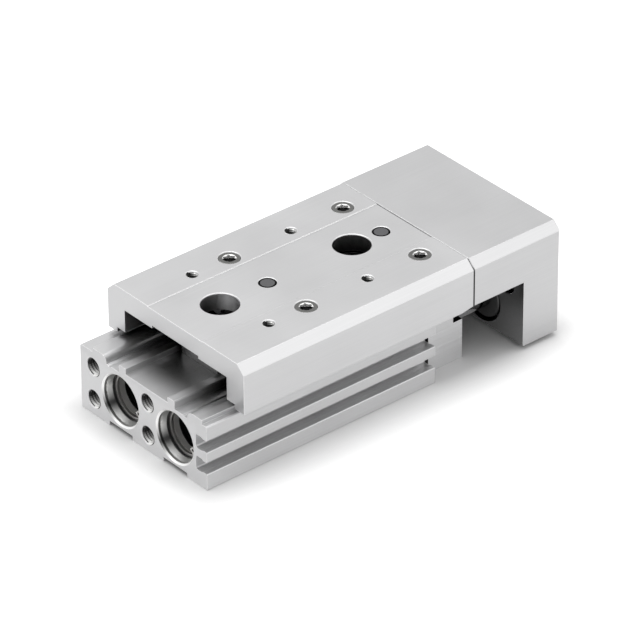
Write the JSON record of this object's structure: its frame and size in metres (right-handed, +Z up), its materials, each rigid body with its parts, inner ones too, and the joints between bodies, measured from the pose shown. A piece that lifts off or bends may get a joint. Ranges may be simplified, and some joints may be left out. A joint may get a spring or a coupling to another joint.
{
  "type": "pneumatic slide table",
  "caption": "Compact pneumatic slide table: two piston rods in a twin-bore aluminium body push a channel-shaped table that runs on a ball guide rail.",
  "frame": {"origin": "on the body's flat underside, midway between the two mounting bolts on the guide's centre plane", "axes": "+X is the way the table extends, towards the end block; +Z is up, from the mounting face to the table's top; the side with the two sensor slots faces -Y and the air ports face +Y. The rest pose is the one in the picture."},
  "size_m": [0.1138, 0.0536, 0.0338],
  "materials": {
    "body_aluminium": "clear anodised extrusion, machined faces",
    "table_aluminium": "clear anodised, milled",
    "end_aluminium": "clear anodised, milled",
    "cap_aluminium": "grey anodised",
    "cover_aluminium": "turned",
    "piston_aluminium": "turned",
    "rail_steel": "ground",
    "carriage_steel": "ground",
    "ball_steel": "polished",
    "rod_chrome": "hard chrome, polished",
    "collar_steel": "turned and blackened",
    "zinc_steel": "zinc plated",
    "table_screw_steel": "dark nickel plated",
    "spring_steel": "phosphated spring steel",
    "plug_grey": "flush filled plug",
    "black_plastic": "moulded",
    "wear_plastic": "machined",
    "magnet_black": "bonded magnet",
    "seal_rubber": "nitrile rubber",
    "bumper_rubber": "moulded polyurethane"
  },
  "bodies": {
    "cylinder": {"cylinder_body": "body_aluminium", "guide_rail": "rail_steel", "rail_screws": "zinc_steel", "head_cap_left": "cap_aluminium", "head_cap_right": "cap_aluminium", "cap_plug_left": "black_plastic", "cap_plug_right": "black_plastic", "head_cap_seal_left": "seal_rubber", "head_cap_seal_right": "seal_rubber", "head_ring_left": "spring_steel", "head_ring_right": "spring_steel", "head_bumper_left": "bumper_rubber", "head_bumper_right": "bumper_rubber", "rod_cover_left": "cover_aluminium", "rod_cover_right": "cover_aluminium", "rod_cover_seal_left": "seal_rubber", "rod_cover_seal_right": "seal_rubber", "rod_seal_left": "seal_rubber", "rod_seal_right": "seal_rubber", "front_ring_left": "spring_steel", "front_ring_right": "spring_steel", "rod_bumper_left": "bumper_rubber", "rod_bumper_right": "bumper_rubber"},
    "table": {"slide_table": "table_aluminium", "table_screws": "table_screw_steel", "grease_plugs": "plug_grey", "guide_carriage": "carriage_steel", "carriage_cap_rear": "black_plastic", "carriage_cap_front": "black_plastic", "scraper_rear": "seal_rubber", "scraper_front": "seal_rubber", "carriage_screws": "zinc_steel", "guide_balls_left": "ball_steel", "guide_balls_right": "ball_steel", "end_block": "end_aluminium", "end_block_screws": "zinc_steel", "piston_left": "piston_aluminium", "piston_right": "piston_aluminium", "piston_seal_left": "seal_rubber", "piston_seal_right": "seal_rubber", "piston_magnet_left": "magnet_black", "piston_magnet_right": "magnet_black", "wear_ring_left": "wear_plastic", "wear_ring_right": "wear_plastic", "piston_rod_left": "rod_chrome", "piston_rod_right": "rod_chrome", "rod_collar_left": "collar_steel", "rod_collar_right": "collar_steel", "rod_nut_left": "zinc_steel", "rod_nut_right": "zinc_steel"}
  },
  "joints": [
    {"name": "table_slide", "type": "slide", "parent": "cylinder", "child": "table", "axis": [1, 0, 0], "range_m": [-0.0093, 0.0007]}
  ]
}
